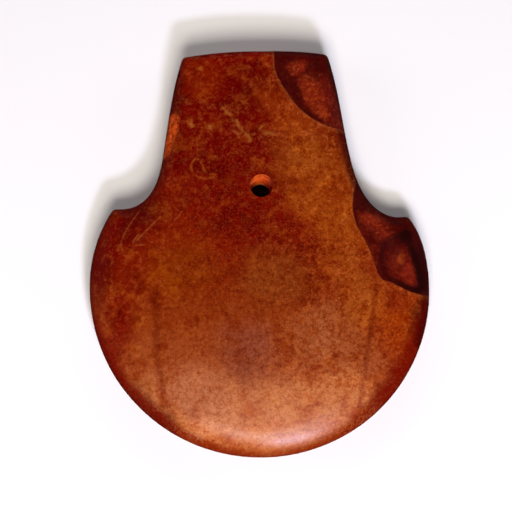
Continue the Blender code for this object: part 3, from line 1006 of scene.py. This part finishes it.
# %% Tan threads
THREAD_GRAIN, CLUMP_GRAIN = 4.5, 6.0  # mm from thread to thread, and across a clump
THREAD_HALF = 0.04  # how far from 0.5 the noise can be in a thread
THREADS_ON_BLADE, THREADS_ON_POLL = 0.08, 0.48  # how much of their colour shows at most
web = blotched("web", THREAD_GRAIN, detail=3.0, rough=0.6, least=-0.5, most=0.5)
web = add_node("Math", {0: web}, operation="ABSOLUTE")
clumps = blotched("clumps", CLUMP_GRAIN, detail=2.0, rough=0.5, start=0.49, full=0.62)
most = add_node("MapRange", {
    "Value": in_region["poll"], "To Min": THREADS_ON_BLADE, "To Max": THREADS_ON_POLL})
clumps = add_node("Math", {0: clumps, 1: most}, operation="MULTIPLY")
thread = add_node("MapRange", {
    "Value": web, "From Min": THREAD_HALF, "From Max": 0.0, "To Max": clumps}, **SMOOTHLY)
colour = add_node("Mix", {
    0: thread, A_COLOUR: colour, B_COLOUR: linear("#7c4010")}, **IN_COLOUR, blend_type="SCREEN")
print(f"threads: in clumps {CLUMP_GRAIN:.0f} mm across, mostly on the poll")

# %% [markdown]
# ## Dark rims, bevels and seams
#
# Where the face rolls over to the side, the colour is wine red and nearly black: partly the stone's
# own darker rim, and partly painted shade, where the face turns away from the light and loses its
# sheen. Three broad shades lie on the shoulder, the flank and the poll's edge, and the rest follows
# the stored distances: the two bevels under the flanks, the rim all round, and the seams. A smooth
# ramp over a distance would look airbrushed. Two noises prevent that: one makes each border ragged,
# the other breaks the colour into flecks.

# %% Ragged borders and flecks
RAGGED_GRAIN, FLECK_GRAIN = 1.8, 0.9  # mm
ragged = blotched("ragged", RAGGED_GRAIN, detail=3.0, rough=0.7, least=-1.0)
flecks = blotched("flecks", FLECK_GRAIN, detail=3.0, rough=0.8, start=0.40, full=0.56, least=0.5)


def reached(name, raggedness, none, full, most=1.0, **settings):
    """A share from a stored distance: 0 at `none`, `most` at `full`, its border ragged by some mm."""
    distance = add_node("Attribute", {}, "Fac", attribute_name=name)
    distance = add_node("Math", {0: ragged, 1: raggedness, 2: distance}, operation="MULTIPLY_ADD")
    return add_node("MapRange", {
        "Value": distance, "From Min": none, "From Max": full, "To Max": most}, **settings)


def flecked_over(under, amount, tint, acting="MIX"):
    """A colour with a tint laid over it in flecks."""
    amount = add_node("Math", {0: amount, 1: flecks}, operation="MULTIPLY")
    return add_node("Mix", {
        0: amount, A_COLOUR: under, B_COLOUR: linear(tint)}, **IN_COLOUR, blend_type=acting)


print(f"borders bend every {RAGGED_GRAIN} mm, flecks are {FLECK_GRAIN} mm across")

# %% Dark shoulder, flank and poll edge
# name, middle, halves in mm, turn in degrees, colour, how much of it at most
SHADES = (
    ("shoulder_wine", (-47.0, 24.0), (15.0, 8.0), 25, "#4c0504", 0.60),
    ("flank_wine", (-60.0, 6.0), (7.0, 18.0), 0, "#500604", 0.45),
    ("poll_edge_wine", (-34.0, 70.0), (5.5, 20.0), -10, "#580804", 0.55),
)
PATCH_PLATEAU = 0.7
for *shape, tint, most in SHADES:
    colour = flecked_over(colour, stained(*shape, PATCH_PLATEAU, most), tint)
print(f"shades: {len(SHADES)}")

# %% Bevels, rims and seams in colour
# the distance it reads, where it is nothing and full, how it acts, its colour, how much of it at most
# the bevels' tones are painted shade; bit_rim, left_edge, right_edge and rim are partly the stone's own dark
# rim and partly painted shade where the face turns from the light
RIM_TONES = (
    ("left_bevel", (-1.8, 1.4), "MIX", "#6c0b04", 0.95),
    ("right_bevel", (-2.6, 2.2), "MIX", "#680802", 0.95),
    ("bit_rim", (3.6, 0.8), "MIX", "#7e2406", 0.70),
    ("left_edge", (3.6, 0.8), "MIX", "#580702", 0.70),
    ("right_edge", (4.2, 2.1), "MIX", "#420301", 0.98),
    ("rim", (1.5, 0.2), "MULTIPLY", "#a8584a", 0.45),
    ("seams", (1.9, 0.0), "MULTIPLY", "#c89880", 0.90),
)
RIM_RAGGEDNESS = 0.6  # mm
for name, (none, full), acting, tint, most in RIM_TONES:
    amount = reached(name, RIM_RAGGEDNESS, none, full, most, **SMOOTHLY)
    colour = flecked_over(colour, amount, tint, acting)
print(f"rim tones: {len(RIM_TONES)}")

# %% [markdown]
# ## Veins and scratches in colour
#
# The veins and the loop are pale mineral in the stone, and the scratches are newer and catch pale
# dust. An even line would look like ink, so the fine noise frays its border and a slower one lets it
# come and go along its length.

# %% Veins and scratches in colour
# the distance it reads, its fraying, where it is full and nothing, all in half widths of the line;
# the slow noise where it is gone and whole; its colour, how much of it at most
LINES = (
    ("loop", 3.4, (0.0, 1.2), (0.22, 0.42), "#984212", 0.85),
    ("veins", 3.6, (0.0, 1.4), (0.38, 0.54), "#a25a22", 0.90),
    ("scratches", 2.8, (0.0, 1.3), (0.40, 0.56), "#9c4e22", 0.75),
)
LINE_RAGGEDNESS = 0.7  # half widths
LENGTHWISE_GRAIN = 3.0  # mm
fray = blotched("fray", FLECK_GRAIN, detail=3.0, rough=0.8, least=-0.5, most=0.5)
for name, fraying, (full, none), (gone, whole), tint, most in LINES:
    distance = add_node("Attribute", {}, "Fac", attribute_name=name)
    for noise, strength in ((fray, fraying), (ragged, LINE_RAGGEDNESS)):
        distance = add_node("Math", {0: noise, 1: strength, 2: distance}, operation="MULTIPLY_ADD")
    patchy = blotched("lengthwise", LENGTHWISE_GRAIN, 2.0, 0.5, start=gone, full=whole, most=most)
    patchy = add_node("Math", {0: patchy, 1: flecks}, operation="MULTIPLY")
    line = add_node("MapRange", {
        "Value": distance, "From Min": none, "From Max": full, "To Max": patchy}, **SMOOTHLY)
    colour = add_node("Mix", {0: line, A_COLOUR: colour, B_COLOUR: linear(tint)}, **IN_COLOUR)
print(f"lines in colour: {', '.join(line[0] for line in LINES)}")

# %% [markdown]
# ## Colour of the breaks
#
# Inside a scar the stone was never rubbed. It is a dark red-brown, crumbly to the eye, with brighter
# red and orange patches where the flake thinned out. A black band lies along the bruise's border,
# thickest towards the stone's edge: it is painted shade over the break's own dark red, where the
# steep border turns away from the light. The same ellipsoids as before place the patches, and three
# noises crumble them: the red patches crumble most, the black hardly at all. Where a scar begins is
# read from its stored distance, so colour and relief meet on one line.

# %% Patches in the breaks
# name, middle, halves in mm, turn in degrees, colour, and how much it crumbles
BREAK_PATCHES = (
    ("butt_edge_red", (27.0, 66.0), (5.0, 16.0), 14, "#5c0905", 0.5),
    ("butt_red", (14.4, 81.6), (6.0, 4.2), 25, "#761a08", 0.9),
    ("butt_orange", (19.8, 70.5), (6.4, 12.0), 22, "#781c06", 1.0),
    ("butt_low_orange", (23.5, 63.0), (4.0, 4.5), 0, "#842809", 1.0),
    ("shoulder_red", (41.5, 23.0), (9.0, 4.8), -36, "#741908", 0.6),
    ("shoulder_border", (38.6, 13.0), (4.5, 14.0), 20, "#5a0a03", 0.2),
    ("bruise_red", (51.4, 7.0), (8.5, 10.5), 20, "#5c0d05", 0.25),
    ("bruise_low_red", (55.4, 2.6), (5.0, 6.5), 20, "#701608", 0.35),
    ("bruise_orange", (50.4, 9.4), (2.2, 2.8), 0, "#863008", 0.4),
)
flesh = linear("#410201")
crumbly = 0.0
for *shape, tint, crumbling in BREAK_PATCHES:
    amount = stained(*shape, PATCH_PLATEAU, STRENGTH)
    flesh = add_node("Mix", {0: amount, A_COLOUR: flesh, B_COLOUR: linear(tint)}, **IN_COLOUR)
    crumbly = add_node("Mix", {0: amount, 2: crumbly, 3: crumbling})
print(f"patches in the breaks: {len(BREAK_PATCHES)}")

# %% Crumbly grain of the breaks
# what it is, mm across, detail, roughness, the noise where it starts and is full, how it acts, its
# colour, and how much of it there is in the dark and in the most crumbly patches
CRUMBS = (
    ("dark crumbs", 3.2, 4.0, 0.85, (0.54, 0.40), "MULTIPLY", "#b87850", 0.7, 0.7),
    ("orange crumbs", 1.5, 4.0, 0.85, (0.50, 0.68), "SCREEN", "#883408", 0.10, 0.8),
    ("pale crumbs", 1.2, 4.0, 0.85, (0.52, 0.68), "SCREEN", "#9c5028", 0.08, 0.7),
)
MOST_CRUMBLY = STRENGTH  # the most that the mixes above can reach
FIRST_CRUMB = -1.5  # counted down from here, clear of the mottle's layers
for layer, (*look, (start, full), acting, tint, darkly, redly) in enumerate(CRUMBS):
    most = add_node("MapRange", {
        "Value": crumbly, "From Max": MOST_CRUMBLY, "To Min": darkly, "To Max": redly})
    crumb = blotched(*look, start, full, most=most, layer=FIRST_CRUMB - layer, **SMOOTHLY)
    flesh = add_node("Mix", {
        0: crumb, A_COLOUR: flesh, B_COLOUR: linear(tint)}, **IN_COLOUR, blend_type=acting)
print(f"crumbs: {len(CRUMBS)} layers")

# %% Painted shade at the bruise's border
# dark patches at the horn, the cove and the bruise's outer side: painted shade where the break's steep
# slopes turn away from the light
BLACK_PATCHES = (
    ("horn_black", (52.6, 18.2), (6.0, 4.2), -40, "#1c0101"),
    ("outer_black", (61.0, 5.0), (4.6, 17.0), 12, "#280203"),
    ("cove_dark", (45.0, 32.5), (13.0, 2.6), -42, "#360303"),
)
BLACK_PLATEAU = 0.6
BORDER_SHADE_FROM, BORDER_SHADE_TO = 47.0, 56.0  # mm to the right, where the painted shade begins to widen and is widest
BORDER_SHADE_WIDTH = (1.4, 2.6)  # mm to each side of the bruise's border
BORDER_SHADE_DARKNESS = (0.45, 0.95)
BORDER_SHADE_CORE = 0.5  # mm from the border, where it is blackest
BORDER_SHADE_RAGGEDNESS = 0.7  # mm

flesh = patched(flesh, BLACK_PATCHES, BLACK_PLATEAU)
# a band of painted shade along the bruise's border, widest towards the stone's edge
from_bruise_border = add_node("Attribute", {}, "Fac", attribute_name="bruise")
from_bruise_border = add_node("Math", {0: from_bruise_border}, operation="ABSOLUTE")
from_bruise_border = add_node("Math", {0: ragged, 1: BORDER_SHADE_RAGGEDNESS, 2: from_bruise_border}, operation="MULTIPLY_ADD")
width, black = [add_node("MapRange", {
    "Value": along_x, "From Min": BORDER_SHADE_FROM, "From Max": BORDER_SHADE_TO, "To Min": least, "To Max": most})
    for least, most in (BORDER_SHADE_WIDTH, BORDER_SHADE_DARKNESS)]
bruise_border_shade = add_node("MapRange", {
    "Value": from_bruise_border, "From Min": width, "From Max": BORDER_SHADE_CORE, "To Max": black}, **SMOOTHLY)
flesh = add_node("Mix", {0: bruise_border_shade, A_COLOUR: flesh, B_COLOUR: linear("#1e0202")}, **IN_COLOUR)
print(f"crust: {BORDER_SHADE_WIDTH[0]} mm wide inwards, {BORDER_SHADE_WIDTH[1]} mm towards the edge")

# %% Breaks laid into the body colour
# the distance it reads, and how far its border is rubbed pale
BREAKS = (("butt_corner", 0.15), ("shoulder", 0.08), ("bruise", 0.0))
BREAK_RAGGEDNESS = 0.45  # mm
PALE_BORDER, BROKEN_BORDER = (-1.3, -0.2), (-0.2, 0.2)  # mm inside the border, from none to all
all_broken = 0.0
for name, pale in BREAKS:
    worn = reached(name, BREAK_RAGGEDNESS, *PALE_BORDER, pale)
    colour = add_node("Mix", {0: worn, A_COLOUR: colour, B_COLOUR: linear("#b06a34")}, **IN_COLOUR)
    is_broken = reached(name, BREAK_RAGGEDNESS, *BROKEN_BORDER)
    colour = add_node("Mix", {0: is_broken, A_COLOUR: colour, B_COLOUR: flesh}, **IN_COLOUR)
    all_broken = add_node("Math", {0: all_broken, 1: is_broken}, operation="MAXIMUM")
print(f"breaks in colour: {len(BREAKS)}")

# %% [markdown]
# ## Drilled wall and chip
#
# Two places show the stone's inside, which handling never darkened: the drilled wall, a clean orange,
# and the chip on the poll's left edge, which is orange with dark specks and younger than the rest.
# The wall's colour is laid on by depth as well: a pale line, a painted highlight where the two
# borings met, and painted shade below it, where light hardly comes. The material could be a second
# one on its own faces, but a share of one material can end raggedly, and the chip does.

# %% Drilled wall
GLINT_LINE = 1.5  # mm over the middle plane, where a pale line is painted as a highlight, with painted shade below
BLUSH_GRAIN = 3.5  # mm
ORANGE_LIP = (0.1, 1.6)  # mm inside the lip, from none to all
across, _, over_middle = add_node("SeparateXYZ", {0: place}).node.outputs
blush = add_node("TexNoise", {"Vector": place, "Scale": 1 / BLUSH_GRAIN, "Detail": 3.0})
from_glint_line = add_node("Math", {0: over_middle, 1: GLINT_LINE}, operation="SUBTRACT")
from_glint_line = add_node("Math", {0: from_glint_line}, operation="ABSOLUTE")
# what is read, where it starts and is full, how much of it at most, and its colour
WALL_TONES = (
    (blush, 0.40, 0.60, 1.0, "#d45c08"),
    (across, 2.6, 4.4, 0.8, "#8a2004"),
    # a painted highlight line round the wall
    (from_glint_line, 0.5, 0.1, 0.5, "#c87858"),
    # painted shade below it, where light hardly reaches
    (over_middle, 1.4, 0.9, 1.0, "#0c0404"),
)
wall = linear("#b03009")
for value, start, full, most, tint in WALL_TONES:
    amount = add_node("MapRange", {"Value": value, "From Min": start, "From Max": full, "To Max": most})
    wall = add_node("Mix", {0: amount, A_COLOUR: wall, B_COLOUR: linear(tint)}, **IN_COLOUR)
in_bore = reached("bore", 0.0, *ORANGE_LIP)
colour = add_node("Mix", {0: in_bore, A_COLOUR: colour, B_COLOUR: wall}, **IN_COLOUR)
print(f"drilled wall: orange down to {GLINT_LINE} mm over the middle plane, dark below")

# %% Chip on the poll's edge
SPECK_GRAIN = 1.8  # mm
CHIP_RAGGEDNESS, CHIP_FOOT_RAGGEDNESS = 0.9, 2.4  # mm
CHIP_BORDER = (-0.3, 1.2)  # mm inside the border, from none to all
CHIP_FOOT = (0.8, 3.6)  # mm over the middle plane, where its orange is gone and is whole
is_chipped = reached("poll_side", CHIP_RAGGEDNESS, *CHIP_BORDER, 0.95)
foot = add_node("Math", {0: ragged, 1: CHIP_FOOT_RAGGEDNESS, 2: over_middle}, operation="MULTIPLY_ADD")
foot = add_node("MapRange", {"Value": foot, "From Min": CHIP_FOOT[0], "From Max": CHIP_FOOT[1]})
is_chipped = add_node("Math", {0: is_chipped, 1: foot}, operation="MULTIPLY")
specks = blotched("specks", SPECK_GRAIN, detail=4.0, rough=0.85, start=0.40, full=0.58)
raw = add_node("Mix", {0: specks, A_COLOUR: linear("#701403"), B_COLOUR: linear("#d85410")}, **IN_COLOUR)
colour = add_node("Mix", {0: is_chipped, A_COLOUR: colour, B_COLOUR: raw}, **IN_COLOUR)
print(f"chip: orange with dark specks, fading out from {CHIP_FOOT[1]} mm over the middle plane")

# %% [markdown]
# ## Gloss
#
# Rubbing gave the stone a satin polish, a little duller at the bit, which was used, and duller
# still in the breaks. The bevels, ground last, are the smoothest, and the drilled wall is matt. Stone
# has an IOR of about 1.5, but fat and dust in its pores take away half of its reflection, so the
# specular level is low. It is one number for the whole stone and sits on the shader's own socket, and
# only roughness varies. The pores are a bump: the real ones can't be seen, so they are drawn half a
# millimetre wide and 0.03 mm deep.

# %% Gloss
GLOSS_GRAIN, PORE_GRAIN = 3.0, 0.5  # mm
PORE_DEPTH = 0.03 * MM
AT_BIT, ON_FACE = (0.20, 0.36), (0.13, 0.23)  # the lowest and the highest roughness
BEVEL_ROUGHNESS, BROKEN_ROUGHNESS, BORED_ROUGHNESS = 0.12, 0.35, 1.0
BEVEL_BORDER, MATT_LIP = (-1.0, 1.5), (0.1, 0.4)  # mm inside the border, from none to all
least, most = [
    add_node("MapRange", {"Value": off_bit, "To Min": at_bit, "To Max": on_face})
    for at_bit, on_face in zip(AT_BIT, ON_FACE)]
gloss = blotched("gloss", GLOSS_GRAIN, detail=5.0, rough=0.7, least=least, most=most)
OWN_ROUGHNESS = (
    (reached("left_bevel", 0.0, *BEVEL_BORDER), BEVEL_ROUGHNESS),
    (reached("right_bevel", 0.0, *BEVEL_BORDER), BEVEL_ROUGHNESS),
    (all_broken, BROKEN_ROUGHNESS),
    (reached("bore", 0.0, *MATT_LIP), BORED_ROUGHNESS),
)
for amount, roughness in OWN_ROUGHNESS:
    gloss = add_node("Mix", {0: amount, 2: gloss, 3: roughness})
pores = add_node("TexNoise", {"Vector": place, "Scale": 1 / PORE_GRAIN, "Detail": 3.0, "Roughness": 0.7})
bump = add_node("Bump", {"Height": pores, "Distance": PORE_DEPTH, "Strength": 0.5})
for socket, value in (("Base Color", colour), ("Roughness", gloss), ("Normal", bump)):
    tree.links.new(value, shader.inputs[socket])
shader.inputs["IOR"].default_value = 1.5
shader.inputs["Specular IOR Level"].default_value = 0.22
stone.data.materials.append(rubbed)
print(f"stone's material: {len(tree.nodes)} nodes")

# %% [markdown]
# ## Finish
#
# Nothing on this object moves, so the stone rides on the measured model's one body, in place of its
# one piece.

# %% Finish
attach(stone, "root")
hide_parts("stone_spud")
